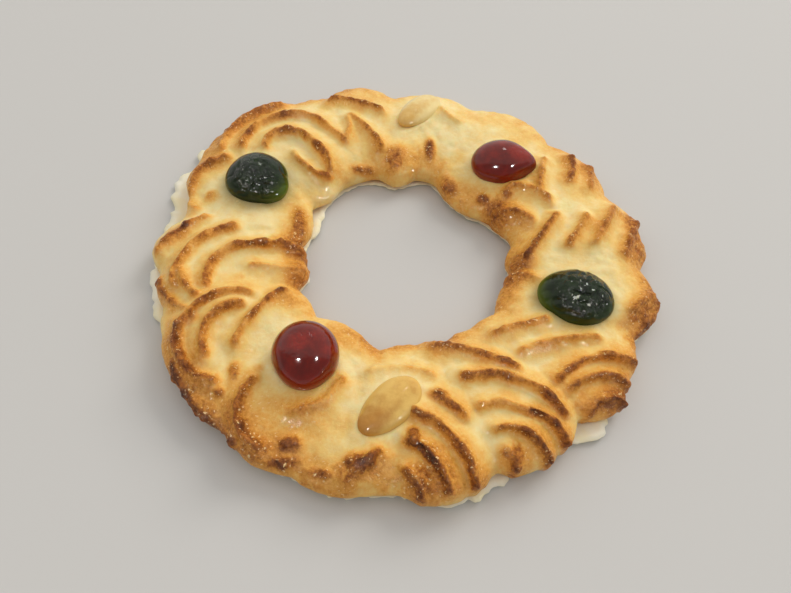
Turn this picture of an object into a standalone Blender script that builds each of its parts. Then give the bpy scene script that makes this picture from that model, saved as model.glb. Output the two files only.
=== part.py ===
# A wreath of piped cookie dough on edible wafer paper, with candied cherries and almonds pressed in.
import bpy
import numpy as np
from mathutils import Matrix

mm = 0.001  # every length below is in millimetres and every angle in degrees, counted from +X

# ---- driving dimensions -------------------------------------------------------------------
ring = dict(
    middle=(-1.30, 0.39),    # where the ring's centre lies: the middle of the footprint is at (0, 0)
    outer=74.0, inner=38.5,  # the band between its lobes
    crown=11.3, waist=4.4,   # top of the smooth dough, and its widest level
    crownRound=2.35,         # exponent of the section's superellipse above the waist
    bellyRound=3.2, baseRound=6.0,  # and below it: across, and in height
    round=184, across=25,    # divisions round the ring, and round its section
    topShare=0.8,            # share of the section's divisions spent on the upper side
    # lobes of the outline: angle, reach, half width at which the lobe has fallen by lobeFall
    lobeFall=8.0, sharpness=0.9,
    outerLobes=[(-9, 84.7, 12), (7, 83.4, 9), (16, 83.2, 11), (35, 82.6, 15), (60, 83.8, 14),
                (84, 82.2, 16), (106, 86.2, 11), (121, 85.0, 12), (134, 88.2, 15), (147, 85.8, 13),
                (157, 82.6, 9), (183, 81.4, 10), (195, 78.4, 11), (206, 79.4, 9), (216, 81.8, 12),
                (229, 81.4, 15), (246, 84.0, 14), (259, 84.8, 13), (268, 82.4, 12), (281, 84.8, 13),
                (301, 82.4, 13), (309, 80.6, 8), (322, 83.8, 8), (332, 81.8, 12)],
    innerLobes=[(52, 30.6, 23), (30, 35.8, 16), (95, 33.8, 12), (137, 35.4, 15), (166, 31.8, 20),
                (188, 32.6, 14), (197, 31.0, 11), (216, 34.4, 18), (244, 32.6, 22), (274, 34.8, 16),
                (287, 34.2, 16), (303, 34.4, 18), (317, 35.0, 16), (338, 34.4, 20), (2, 35.0, 14)],
)

relief = dict(
    crest=1.4,         # height of a piped ridge over its own shoulder
    shoulder=2.0,      # height of the shoulder over the smooth dough
    side=0.55,         # share of the relief that is left at the rims
    carried=1.8,       # how far its mean lift carries a point outward where the surface is upright
    crestWidth=2.1, crestEnd=2.0,
    # a loop's ridge falls off steeply toward the loop's middle and gently away from it, a plain one evenly
    shoulderInside=2.6, shoulderOutside=5.0, shoulderPlain=3.8, shoulderEnd=3.5,
    wander=0.55, wanderSize=6.0,  # how far a ridge's line strays, and over what length
    swell=0.8, swellSize=14.0,    # slow unevenness of the dough
)

paper = dict(
    thickness=0.6, gap=0.35, inset=1.0,  # its edge lies this far within the dough's where no flap shows
    round=106, across=8,
    flatFrom=44.0, flatTo=68.0,          # the band that lies flat on the table
    curlWidth=14.0, outerCurl=1.0, innerCurl=1.5,   # rise of an edge this far from the flat band
    frontCurl=0.9, frontCurlAt=235, frontCurlWidth=45,  # a further rise of the outer edge at the front left
    jag=0.45, jagSize=2.4,
    # torn flaps that show past the dough: angle, reach, half width at which the flap has fallen by
    # lobeFall; they stand out from a circle that lies baseInset within the dough's own band
    baseInset=4.0,
    outerFlaps=[(149, 88.0, 3), (157, 87.0, 7), (165, 83.6, 8), (173, 80.6, 10), (190, 80.4, 10),
                (200, 80.8, 9), (286, 82.0, 7), (294, 81.2, 8), (315, 84.8, 6)],
    innerFlaps=[(103, 32.9, 14), (131, 35.4, 8), (146, 31.2, 12), (160, 28.8, 16), (176, 30.6, 10),
                (198, 30.8, 8)],
)

# Piped loops: the centre (a hairpin runs on to a second one) and its ridges, each an arc about it:
# from angle, to angle, radius at the first angle and at the last, height as a share of the full relief.
loops = dict(
    left=dict(at=(-46, -19), to=(-38, -17),
              ridges=[(34, 188, 15.0, 14.0, 1.0), (114, 184, 22.8, 24.0, 1.1)]),
    leftFront=dict(at=(-46, -41), to=None,
                   ridges=[(90, 172, 17.2, 19.2, 1.0), (172, 250, 19.2, 14.4, 1.0),
                           (98, 207, 12.8, 10.2, 1.1)]),
    frontLeft=dict(at=(-30, -62), to=None, ridges=[(140, 243, 12.4, 12.4, 1.0)]),
    front=dict(at=(-2, -87), to=None,
               ridges=[(18, 50, 12.4, 12.4, 0.8), (18, 66, 19.8, 19.6, 1.1),
                       (17, 72, 28.0, 27.6, 1.1), (50, 66, 35.0, 35.4, 0.9)]),
    frontRight=dict(at=(30, -74), to=None,
                    ridges=[(-35, 60, 5.5, 5.5, 0.8), (14, 92, 14.9, 10.6, 1.0),
                            (26, 60, 22.2, 19.0, 1.0), (60, 106, 18.6, 18.0, 0.9),
                            (43, 110, 25.4, 27.6, 1.1)]),
    rightFront=dict(at=(65, -59), to=None,
                    ridges=[(72, 148, 9.0, 9.0, 0.9), (66, 143, 14.6, 16.8, 1.0),
                            (74, 143, 22.2, 21.0, 1.0)]),
    backLeft=dict(at=(-43, 40), to=(-36, 33),
                  ridges=[(0, 176, 9.4, 8.2, 1.1), (48, 180, 18.6, 16.0, 1.0),
                          (104, 182, 26.8, 23.5, 0.9)]),
    leftBack=dict(at=(-60, 21), to=None, ridges=[(108, 226, 14.1, 14.1, 0.9)]),
)

# Short ridges that stand alone: from, to, bow to the left of the way, height as a share.
strokes = dict(
    leftSide=[((-31, -11), (-46, -12.5), 0.5, 0.7), ((-68.5, -17), (-62, -25.5), -0.6, 1.0),
              ((-75, -20), (-63.5, -31), -1.2, 0.7), ((-36, -21.5), (-46.5, -41.5), -1.5, 1.0),
              ((-64, -49), (-43, -71), -2.0, 0.9), ((-65.5, 5.5), (-78, -7), -0.8, 0.9)],
    frontSide=[((12.5, -37.5), (35.5, -43.5), 0.8, 1.0), ((-14, -52.5), (-26, -62.5), 1.8, 0.8),
               ((-6, -47), (11, -47.5), 1.6, 0.6), ((-3, -73), (-10, -80), -0.5, 0.8)],
    rightSide=[((30, -32.5), (45, -26.8), 0.3, 1.0), ((38, -37.5), (60, -31.2), 0.8, 1.0),
               ((40.8, -1), (51, 16.5), -0.2, 1.1), ((55, 5), (61.3, 17), -0.3, 1.0),
               ((63.5, 6), (71.5, 23), -0.3, 0.9), ((73.5, 3), (80, 20), 0.4, 0.8),
               ((72.5, -19.5), (80.5, -12.5), 0.5, 1.0), ((34, -7), (42, -8), 1.0, 0.6)],
    rightBack=[((46.5, 29), (48.5, 43), 0.5, 1.0), ((57.5, 35), (59, 46), -0.3, 1.0),
               ((65, 33), (66, 44), -0.3, 0.8), ((36, 28), (49.5, 24), 2.5, 0.9),
               ((34, 19), (43, 16), 0.8, 0.8)],
    backSide=[((-40, 36.5), (-28.5, 29.0), -1.2, 1.0), ((-22.5, 48), (-23, 58), -0.3, 0.9),
              ((-21.5, 59.5), (-10, 45.5), 0.8, 1.0), ((-30, 69), (-11, 64.5), 1.2, 0.9),
              ((12, 66.5), (18, 61), -0.5, 0.6)],
)

# Candied cherries: middle, half sizes, turn about +Z, depth and place of the stone's dimple on the
# cherry, and the share of its width by which the end at its own +x narrows.
cherries = dict(
    cherry_red_front=dict(at=(-25.4, -45.4, 14.6), half=(9.5, 9.4, 9.4), turn=0,
                          dimple=1.0, dimpleAt=(-1.5, 4), point=0.0),
    cherry_red_back=dict(at=(34.2, 39.6, 13.6), half=(10.8, 9.0, 7.4), turn=35,
                         dimple=0.8, dimpleAt=(2, 3), point=0.16),
    cherry_green_left=dict(at=(-51.0, 23.6, 13.2), half=(9.8, 10.2, 7.4), turn=10,
                           dimple=1.2, dimpleAt=(1, 1), point=0.0),
    cherry_green_right=dict(at=(55.9, -17.4, 12.6), half=(10.6, 9.4, 6.8), turn=-10,
                            dimple=1.3, dimpleAt=(0, 2), point=0.0),
)
almonds = dict(
    almond_front=dict(at=(-0.5, -59.6, 12.9), half=(11.0, 6.2, 3.1), turn=229, lean=6),
    almond_back=dict(at=(3.0, 65.6, 12.1), half=(11.2, 5.6, 3.2), turn=236, lean=-4),
)
toppings = dict(
    round=18, rings=9, almondRound=16, almondRings=8,  # divisions of a cherry and of an almond
    pocketGrow=0.42,   # how much larger a pocket is than its topping, so that 0.3 mm or more stays clear
    dimpleWidth=3.0,   # radius at which the stone's dimple has all but run out
    almondTaper=0.12,  # share by which an almond's width falls from its middle to its +x end
)

colours = dict(
    dough=(0.76, 0.50, 0.17), wafer=(0.84, 0.81, 0.72), red=(0.24, 0.008, 0.006), green=(0.015, 0.030, 0.010),
    almond=(0.74, 0.47, 0.19),
)


def bump(x):
    """A bell: 1 at x = 0, e to the minus x squared away from it."""
    return np.exp(-x * x)


def ease(a, b, x):
    """0 up to a, 1 from b on, and a smooth step 3t^2 - 2t^3 between them."""
    t = np.clip((x - a) / (b - a), 0, 1)
    return t * t * (3 - 2 * t)


def apart(theta, angle):
    """Signed angle in degrees from angle to theta, between -180 and 180."""
    return (np.degrees(theta) - angle + 180) % 360 - 180


def cornerValue(i, j, k):
    """A fixed number between 0 and 1 for each corner of a unit lattice."""
    h = np.sin(i * 127.1 + j * 311.7 + k * 74.7) * 43758.5453
    return h - np.floor(h)


def unevenness(x, y, z):
    """Smooth noise from -1 to 1: the lattice's corner values, blended by a smooth step on each axis."""
    xi, yi, zi = np.floor(x), np.floor(y), np.floor(z)
    parts = [ease(0, 1, t) for t in (x - xi, y - yi, z - zi)]
    total = 0
    for dx in (0, 1):
        for dy in (0, 1):
            for dz in (0, 1):
                wx, wy, wz = [p if step else 1 - p for p, step in zip(parts, (dx, dy, dz))]
                total = total + wx * wy * wz * cornerValue(xi + dx, yi + dy, zi + dz)
    return 2 * total - 1


def lobed(theta, base, lobes, sign):
    """Smooth maximum (sign 1) or minimum (sign -1) of a circle and of each lobe, a parabola in angle."""
    sharp = ring["sharpness"]
    total = 1.0
    for angle, reach, half in lobes:
        edge = reach - sign * ring["lobeFall"] * (apart(theta, angle) / half) ** 2
        total = total + np.exp(np.clip(sign * (edge - base) * sharp, -60, 60))
    return base + sign * np.log(total) / sharp


def doughRims(theta):
    """Inner and outer radius of the dough at its waist."""
    inner = lobed(theta, ring["inner"], ring["innerLobes"], -1)
    outer = lobed(theta, ring["outer"], ring["outerLobes"], 1)
    return inner, outer


def paperCurl(theta, radius):
    """Height of the paper's underside: 0 on its flat band, and a straight rise toward both of its edges."""
    front = paper["frontCurl"] * bump(apart(theta, paper["frontCurlAt"]) / paper["frontCurlWidth"])
    outer = np.clip((radius - paper["flatTo"]) / paper["curlWidth"], 0, 1.5)
    inner = np.clip((paper["flatFrom"] - radius) / paper["curlWidth"], 0, 1.5)
    return (paper["outerCurl"] + front) * outer + paper["innerCurl"] * inner


def doughFloor(theta, radius):
    """Height of the dough's underside: the paper's upper face and a small gap."""
    return paper["thickness"] + paper["gap"] + paperCurl(theta, radius)


def ridgesAt(x, y):
    """Crest and shoulder of the piping: a bell of the distance to each ridge's line; the highest wins."""
    size = relief["wanderSize"]
    wander = relief["wander"] * unevenness(x / size, y / size, 0 * x + 3.3)
    lines = []
    for loop in loops.values():
        start = np.array(loop["at"], float)
        way = np.array(loop["to"], float) - start if loop["to"] else np.zeros(2)
        reach = max(way @ way, 1e-9)
        onWay = np.clip(((x - start[0]) * way[0] + (y - start[1]) * way[1]) / reach, 0, 1)
        dx = x - start[0] - onWay * way[0]
        dy = y - start[1] - onWay * way[1]
        away = np.hypot(dx, dy)
        angle = np.arctan2(dy, dx)
        for first, last, radius, radiusAtLast, height in loop["ridges"]:
            turned = apart(angle, (first + last) / 2)
            past = np.clip(np.abs(turned) - (last - first) / 2, 0, 180)
            share = np.clip(turned / (last - first) + 0.5, 0, 1)
            line = radius + (radiusAtLast - radius) * share
            lines.append((away - line + wander, np.radians(past) * line, height, True))
    for (x0, y0), (x1, y1), bow, height in sum(strokes.values(), []):
        length = np.hypot(x1 - x0, y1 - y0)
        ux, uy = (x1 - x0) / length, (y1 - y0) / length
        along = (x - x0) * ux + (y - y0) * uy
        off = (y - y0) * ux - (x - x0) * uy
        q = np.clip(along / length, -0.2, 1.2)
        past = np.clip(np.abs(along - length / 2) - length / 2, 0, None)
        lines.append((off - 4 * bow * q * (1 - q) + wander, past, height, False))
    crest, shoulder = 0 * x, 0 * x
    for off, past, height, isLoop in lines:
        inside = relief["shoulderInside"] if isLoop else relief["shoulderPlain"]
        outside = relief["shoulderOutside"] if isLoop else relief["shoulderPlain"]
        width = np.where(off < 0, inside, outside)
        crest = np.maximum(crest, height * bump(off / relief["crestWidth"]) * bump(past / relief["crestEnd"]))
        shoulder = np.maximum(shoulder, height * bump(off / width) * bump(past / relief["shoulderEnd"]))
    return crest, shoulder


def doughSurface(theta, turn):
    """
    Points of the dough. A section is a superellipse between the rims, rounder above the waist than below it.
    The relief then moves each point out along the section's normal.
    """
    share, top = turn / (2 * np.pi), ring["topShare"]
    phi = np.where(share < top, np.pi * share / top, np.pi + np.pi * (share - top) / (1 - top))
    c, s = np.cos(phi), np.sin(phi)
    upper = s >= 0
    inner, outer = doughRims(theta)
    middle, half = (outer + inner) / 2, (outer - inner) / 2
    across = np.abs(c) ** np.where(upper, 2 / ring["crownRound"], 2 / ring["bellyRound"])
    radius = middle + half * np.sign(c) * across
    crown, waist = ring["crown"], ring["waist"]
    rise = (crown - waist) * np.abs(s) ** (2 / ring["crownRound"])
    fall = (waist - doughFloor(theta, radius)) * np.abs(s) ** (2 / ring["baseRound"])
    z = waist + np.where(upper, rise, -fall)
    x, y = radius * np.cos(theta), radius * np.sin(theta)

    # outward normal, close enough for the relief: each offset over its half size squared
    nr = (radius - middle) / half ** 2
    nz = (z - waist) / (crown - waist) ** 2
    size = np.maximum(np.hypot(nr, nz), 1e-9)
    nr, nz = nr / size, nz / size

    # the ridges are looked up where their own lift will carry each point
    carried = radius + relief["carried"] * nr
    x, y = carried * np.cos(theta), carried * np.sin(theta)
    crest, shoulder = ridgesAt(x, y)
    swellSize = relief["swellSize"]
    slow = relief["swell"] * unevenness(x / swellSize, y / swellSize, z / swellSize + 7)
    lift = relief["crest"] * crest + relief["shoulder"] * shoulder + slow
    lift = lift * (relief["side"] + (1 - relief["side"]) * ease(0, 0.35, s)) * ease(-0.9, 0, s)
    radius = radius + lift * nr
    z = np.maximum(z + lift * nz, doughFloor(theta, radius))
    return radius * np.cos(theta), radius * np.sin(theta), z


def paperSurface(theta, turn):
    """
    Points of the wafer paper, a thin band: 8 points a section, the upper four from the outer edge to the
    inner one and the lower four back, at the edge, at each end of the flat band, and at the other edge.
    """
    inner, outer = doughRims(theta)
    outerTorn = lobed(theta, ring["outer"] - paper["baseInset"], paper["outerFlaps"], 1)
    innerTorn = lobed(theta, ring["inner"] + paper["baseInset"], paper["innerFlaps"], -1)
    outer = np.maximum(outer - paper["inset"], outerTorn)
    inner = np.minimum(inner + paper["inset"], innerTorn)
    size = paper["jagSize"]
    x, y = outer * np.cos(theta), outer * np.sin(theta)
    jag = paper["jag"] * unevenness(x / size, y / size, 0 * theta + 11)
    flatTo, flatFrom = np.full_like(theta, paper["flatTo"]), np.full_like(theta, paper["flatFrom"])
    stops = np.stack([outer + jag, flatTo, flatFrom, inner + jag])
    corner = np.rint(turn / (2 * np.pi) * paper["across"]).astype(int) % paper["across"]
    place = np.where(corner < 4, corner, 7 - corner)
    radius = np.take_along_axis(stops, place[None], 0)[0]
    z = paperCurl(theta, radius) + np.where(corner < 4, paper["thickness"], 0)
    return radius * np.cos(theta), radius * np.sin(theta), z


def surfaceMaterial(name, colour, roughness):
    """A Principled BSDF of one colour."""
    material = bpy.data.materials.new(name)
    material.use_nodes = True
    shader = material.node_tree.nodes["Principled BSDF"]
    shader.inputs["Base Color"].default_value = (*colour, 1)
    shader.inputs["Roughness"].default_value = roughness
    return material


def finish(obj, name, material, collection, parent):
    """Names the object, gives it its material, its collection and its parent, and shades it smooth."""
    obj.name = name
    obj.data.name = name
    obj.data.materials.append(material)
    obj.data.shade_smooth()
    for other in list(obj.users_collection):
        other.objects.unlink(obj)
    collection.objects.link(obj)
    obj.parent = parent
    return obj


def addRing(surface, around, across):
    """A torus whose vertices are moved onto a surface of the angles round the ring and round its section."""
    bpy.ops.mesh.primitive_torus_add(major_segments=around, minor_segments=across, major_radius=1,
                                     minor_radius=0.4)
    obj = bpy.context.object
    co = np.empty(len(obj.data.vertices) * 3)
    obj.data.vertices.foreach_get("co", co)
    x, y, z = co.reshape(-1, 3).T
    theta = np.arctan2(y, x) % (2 * np.pi)
    turn = np.arctan2(z, np.hypot(x, y) - 1) % (2 * np.pi)
    turn = np.where(turn > 2 * np.pi - 1e-4, 0, turn)
    moved = np.stack(surface(theta, turn), -1) * mm
    obj.data.vertices.foreach_set("co", moved.ravel())
    obj.data.update()
    return obj


def addTopping(size, around, rings, grow, shape):
    """A UV sphere moved onto a shape, a function of the unit sphere's points; grow makes it a cutter."""
    bpy.ops.mesh.primitive_uv_sphere_add(segments=around, ring_count=rings, radius=1)
    obj = bpy.context.object
    co = np.empty(len(obj.data.vertices) * 3)
    obj.data.vertices.foreach_get("co", co)
    unit = co.reshape(-1, 3)
    moved = shape(unit, size) + grow * unit
    obj.data.vertices.foreach_set("co", (moved * mm).ravel())
    obj.data.update()
    return obj


def cherryShape(unit, size):
    """An ellipsoid that narrows toward +x, with the round dimple of the stone's hole in its top."""
    points = unit * np.array(size["half"])
    points[:, 1] *= 1 - size["point"] * ease(-0.2, 1.0, unit[:, 0])
    away = np.hypot(points[:, 0] - size["dimpleAt"][0], points[:, 1] - size["dimpleAt"][1])
    points[:, 2] -= size["dimple"] * bump(away / toppings["dimpleWidth"]) * ease(0, 0.5, unit[:, 2])
    return points


def almondShape(unit, size):
    """An ellipsoid whose width falls in a straight line toward +x, as an almond's does."""
    points = unit * np.array(size["half"])
    points[:, 1] *= 1 - toppings["almondTaper"] * unit[:, 0]
    return points


def placeTopping(obj, size):
    """Puts a topping at its middle, turned about +Z and leaning along its length."""
    lean = Matrix.Rotation(np.radians(size.get("lean", 0)), 4, "Y")
    turn = Matrix.Rotation(np.radians(size["turn"]), 4, "Z")
    obj.matrix_basis = Matrix.Translation([v * mm for v in size["at"]]) @ turn @ lean


def main():
    for obj in list(bpy.data.objects):
        bpy.data.objects.remove(obj)
    model = bpy.data.collections.new("cookie wreath")
    cutters = bpy.data.collections.new("cutters")
    for collection in (model, cutters):
        bpy.context.scene.collection.children.link(collection)
    middle = bpy.data.objects.new("ring middle", None)
    middle.location = (ring["middle"][0] * mm, ring["middle"][1] * mm, 0)
    model.objects.link(middle)

    doughMaterial = surfaceMaterial("baked dough", colours["dough"], 0.45)
    waferMaterial = surfaceMaterial("wafer paper", colours["wafer"], 0.8)
    redMaterial = surfaceMaterial("red candied cherry", colours["red"], 0.2)
    greenMaterial = surfaceMaterial("green candied cherry", colours["green"], 0.2)
    almondMaterial = surfaceMaterial("glazed almond", colours["almond"], 0.35)

    dough = addRing(doughSurface, ring["round"], ring["across"])
    finish(dough, "wreath_dough", doughMaterial, model, middle)
    wafer = addRing(paperSurface, paper["round"], paper["across"])
    finish(wafer, "wafer_paper", waferMaterial, model, middle)

    pieces = [(name, size, cherryShape, redMaterial if "red" in name else greenMaterial, "round", "rings")
              for name, size in cherries.items()]
    pieces += [(name, size, almondShape, almondMaterial, "almondRound", "almondRings")
               for name, size in almonds.items()]
    for name, size, shape, material, around, rings in pieces:
        topping = addTopping(size, toppings[around], toppings[rings], 0, shape)
        placeTopping(topping, size)
        finish(topping, name, material, model, middle)
        cutter = addTopping(size, toppings[around], toppings[rings], toppings["pocketGrow"], shape)
        placeTopping(cutter, size)
        finish(cutter, "cutter_" + name, material, cutters, middle)
        cutter.hide_render = True
        cutter.display_type = "WIRE"
        pocket = dough.modifiers.new("pocket of " + name, "BOOLEAN")
        pocket.operation = "DIFFERENCE"
        pocket.solver = "EXACT"
        pocket.object = cutter


main()
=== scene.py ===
# A piped cookie wreath on torn wafer paper, with candied cherries and almonds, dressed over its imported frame.
import bpy
import numpy as np
from mathutils import Matrix, Vector


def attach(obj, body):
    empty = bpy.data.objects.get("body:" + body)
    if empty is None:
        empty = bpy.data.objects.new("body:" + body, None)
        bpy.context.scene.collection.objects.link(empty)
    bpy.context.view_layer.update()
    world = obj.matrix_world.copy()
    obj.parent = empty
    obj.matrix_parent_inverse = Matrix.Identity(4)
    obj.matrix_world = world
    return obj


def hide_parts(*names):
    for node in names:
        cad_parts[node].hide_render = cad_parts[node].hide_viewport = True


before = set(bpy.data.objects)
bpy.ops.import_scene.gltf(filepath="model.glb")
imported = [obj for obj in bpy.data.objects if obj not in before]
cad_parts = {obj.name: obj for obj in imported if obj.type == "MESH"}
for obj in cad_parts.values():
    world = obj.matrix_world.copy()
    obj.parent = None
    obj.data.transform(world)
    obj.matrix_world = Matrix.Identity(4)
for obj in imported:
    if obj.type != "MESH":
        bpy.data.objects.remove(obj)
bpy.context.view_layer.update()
mm = 0.001  # the tables of the pieces are in millimetres and degrees; angles count from +X
hashWeights, hashSize = (127.1, 311.7, 74.7), 43758.5453  # unrelated numbers that scatter the noise's values


def bump(x):  # a bell: e to the minus x squared
    return np.exp(-x * x)


def ease(a, b, x):  # 0 up to a, 1 from b on, 3t^2 - 2t^3 between
    t = np.clip((x - a) / (b - a), 0, 1)
    return t * t * (3 - 2 * t)


def apart(theta, angle):  # signed degrees from angle to theta
    return (np.degrees(theta) - angle + 180) % 360 - 180


def cornerValue(i, j, k):  # a fixed number from 0 to 1 for each corner of a unit lattice
    h = np.sin(i * hashWeights[0] + j * hashWeights[1] + k * hashWeights[2]) * hashSize
    return h - np.floor(h)


# smooth noise from -1 to 1: the lattice's corner values, blended by a smooth step on each axis
def unevenness(x, y, z):
    xi, yi, zi = np.floor(x), np.floor(y), np.floor(z)
    parts = [ease(0, 1, t) for t in (x - xi, y - yi, z - zi)]
    total = 0
    for dx in (0, 1):
        for dy in (0, 1):
            for dz in (0, 1):
                u, v, w = [p if step else 1 - p for p, step in zip(parts, (dx, dy, dz))]
                total = total + u * v * w * cornerValue(xi + dx, yi + dy, zi + dz)
    return 2 * total - 1


def grainOf(points, size, seed):  # unevenness of a cloud of points, its lumps about size across
    x, y, z = points[..., 0] / size, points[..., 1] / size, points[..., 2] / size
    return unevenness(x + seed, y - seed, z + seed)


# a closed skin over a grid of points: it wraps in both directions, or with poles its first and last rows
# shrink to one point each; the faces are turned round where the volume comes out negative
def skin(name, grid, poles=False, values=None):
    rows, columns = grid.shape[:2]
    index = np.arange(rows * columns).reshape(rows, columns)
    if poles:
        index[0], index[-1] = index[0, 0], index[-1, 0]
    below = index if poles else np.vstack([index, index[:1]])
    a, b = below[:-1], below[1:]
    quads = np.stack([a, np.roll(a, -1, 1), np.roll(b, -1, 1), b], -1).reshape(-1, 4)
    flat = grid.reshape(-1, 3) * mm
    p = flat[quads]
    volume = np.einsum("ij,ij->i", p[:, 0], np.cross(p[:, 1], p[:, 2]) + np.cross(p[:, 2], p[:, 3])).sum()
    if volume < 0:
        quads = quads[:, ::-1]
    used, packed = np.unique(quads, return_inverse=True)
    quads = packed.reshape(-1, 4)
    shrunk = (quads == np.roll(quads, -1, 1)).any(1)  # a side of the quad lies in a pole
    faces = [tuple(dict.fromkeys(q)) if odd else tuple(q) for q, odd in zip(quads.tolist(), shrunk)]
    mesh = bpy.data.meshes.new(name)
    mesh.from_pydata(flat[used].tolist(), [], faces)
    mesh.update()
    mesh.shade_smooth()
    for key, value in (values or {}).items():
        layer = mesh.attributes.new(key, "FLOAT", "POINT")
        layer.data.foreach_set("value", value.reshape(-1)[used].astype(np.float32))
    piece = bpy.data.objects.new(name, mesh)
    bpy.context.scene.collection.objects.link(piece)
    return piece


def dress(piece, node, material):  # the piece takes its material and stands for one CAD node
    piece.data.materials.append(material)
    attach(piece, "root")
    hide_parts(node)


def newFinish(name, **settings):  # a shader with some of its constants set
    material = bpy.data.materials.new(name)
    material.use_nodes = True
    shader = material.node_tree.nodes["Principled BSDF"]
    for key, value in settings.items():
        shader.inputs[key.replace("_", " ")].default_value = value
    return material, material.node_tree, shader


def soften(shader, share, radius, scale):  # light spreads under the surface
    shader.inputs["Subsurface Weight"].default_value = share
    shader.inputs["Subsurface Radius"].default_value = radius
    shader.inputs["Subsurface Scale"].default_value = scale


def addNode(tree, kind, inputs=None, **settings):  # an input is linked where it is another node's socket
    node = tree.nodes.new(kind)
    for key, value in settings.items():
        setattr(node, key, value)
    for key, value in (inputs or {}).items():
        if isinstance(value, bpy.types.NodeSocket):
            tree.links.new(value, node.inputs[key])
        else:
            node.inputs[key].default_value = value
    return node


def placeOf(tree):  # Object coordinates
    return addNode(tree, "ShaderNodeTexCoord").outputs["Object"]


def mottle(tree, place, perMetre, detail, roughness):  # noise from 0 to 1
    inputs = {"Vector": place, "Scale": perMetre, "Detail": detail, "Roughness": roughness}
    return addNode(tree, "ShaderNodeTexNoise", inputs).outputs["Fac"]


def level(tree, name):  # a value that the mesh carries
    return addNode(tree, "ShaderNodeAttribute", attribute_name=name).outputs["Fac"]


def times(tree, a, b):  # the product of two values
    return addNode(tree, "ShaderNodeMath", {0: a, 1: b}, operation="MULTIPLY").outputs[0]


def shifted(tree, value, noise, reach):  # the value, moved up or down by the noise's distance from its middle
    away = addNode(tree, "ShaderNodeMath", {0: noise, 1: 0.5}, operation="SUBTRACT").outputs[0]
    return addNode(tree, "ShaderNodeMath", {0: away, 1: reach, 2: value}, operation="MULTIPLY_ADD").outputs[0]


def between(tree, value, low, high, outLow=0.0, outHigh=1.0):  # a smooth step from outLow to outHigh
    inputs = {"Value": value, "From Min": low, "From Max": high, "To Min": outLow, "To Max": outHigh}
    return addNode(tree, "ShaderNodeMapRange", inputs, interpolation_type="SMOOTHSTEP").outputs["Result"]


def blend(tree, share, a, b):  # from colour a to colour b; each is a socket or three numbers
    a, b = [c if isinstance(c, bpy.types.NodeSocket) else (*c, 1) for c in (a, b)]
    return addNode(tree, "ShaderNodeMix", {0: share, 6: a, 7: b}, data_type="RGBA").outputs[2]


def ramp(tree, value, stops):  # a colour for each level of a value
    node = addNode(tree, "ShaderNodeValToRGB", {"Fac": value})
    band = node.color_ramp.elements
    for number, (share, colour) in enumerate(stops):
        stop = band[number] if number < 2 else band.new(share)
        stop.position, stop.color = share, (*colour, 1)
    return node.outputs["Color"]


def relieved(tree, height, millimetres, normal=None):  # bump whose height is so many millimetres
    inputs = {"Height": height, "Strength": 1.0, "Distance": millimetres * mm}
    if normal is not None:
        inputs["Normal"] = normal
    return addNode(tree, "ShaderNodeBump", inputs).outputs["Normal"]


# the camera stands at the side of the round red cherry and looks down into the ring
camera = dict(elevation=54.0, distance=246.2, target=(-2.13, -12.14), roll=4.0, lens=34.13,
              nearest=0.01)  # in metres


def setCamera():
    tilt = np.radians(camera["elevation"])
    back = Vector((0, -np.cos(tilt), np.sin(tilt)))
    target = Vector((camera["target"][0] * mm, camera["target"][1] * mm, 0))
    data = bpy.data.cameras.new("tableCamera")
    data.lens = camera["lens"]
    data.clip_start = camera["nearest"]
    eye = bpy.data.objects.new("tableCamera", data)
    turn = back.to_track_quat("Z", "Y").to_matrix().to_4x4()
    place = Matrix.Translation(target + back * camera["distance"] * mm)
    eye.matrix_world = place @ turn @ Matrix.Rotation(np.radians(camera["roll"]), 4, "Z")
    bpy.context.scene.collection.objects.link(eye)
    bpy.context.scene.camera = eye


table = dict(half=3, tint=(0.60, 0.59, 0.57), roughness=0.75)  # half its width in metres


def setFloor():
    half = table["half"]
    mesh = bpy.data.meshes.new("tableTop")
    corners = [(-half, -half, 0), (half, -half, 0), (half, half, 0), (-half, half, 0)]
    mesh.from_pydata(corners, [], [(0, 1, 2, 3)])
    floor = bpy.data.objects.new("tableTop", mesh)
    bpy.context.scene.collection.objects.link(floor)
    finish = newFinish("tableTopMatt", Base_Color=(*table["tint"], 1), Roughness=table["roughness"])[0]
    mesh.materials.append(finish)


warmWhite = (1.0, 0.98, 0.95)
# where each light hangs, its width and height in metres and its watts: the window gives the soft shadows,
# and the small lamps only shine back from wet surfaces
lights = dict(
    window=dict(at=(1.25, 1.45, 1.35), size=(1.2, 1.2), watts=25.5, tint=(1.0, 0.97, 0.93), shines=False),
    lampLeft=dict(at=(-0.28, -0.60, 0.62), size=(0.11, 0.048), watts=5.0, tint=warmWhite, shines=True),
    lampRight=dict(at=(0.72, -0.60, 0.62), size=(0.11, 0.048), watts=5.0, tint=warmWhite, shines=True),
    lampBack=dict(at=(0.10, 1.00, 1.35), size=(0.14, 0.10), watts=0.9, tint=warmWhite, shines=True),
)
# the room is bright in the half that lies toward the given direction, and dimmer in the other; it changes
# from the cosine dimTo to the cosine brightFrom
room = dict(tint=warmWhite, toward=(0.08, 0.81, 0.58), dimTo=-0.05, brightFrom=0.10, dim=0.36, bright=0.80)


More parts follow.
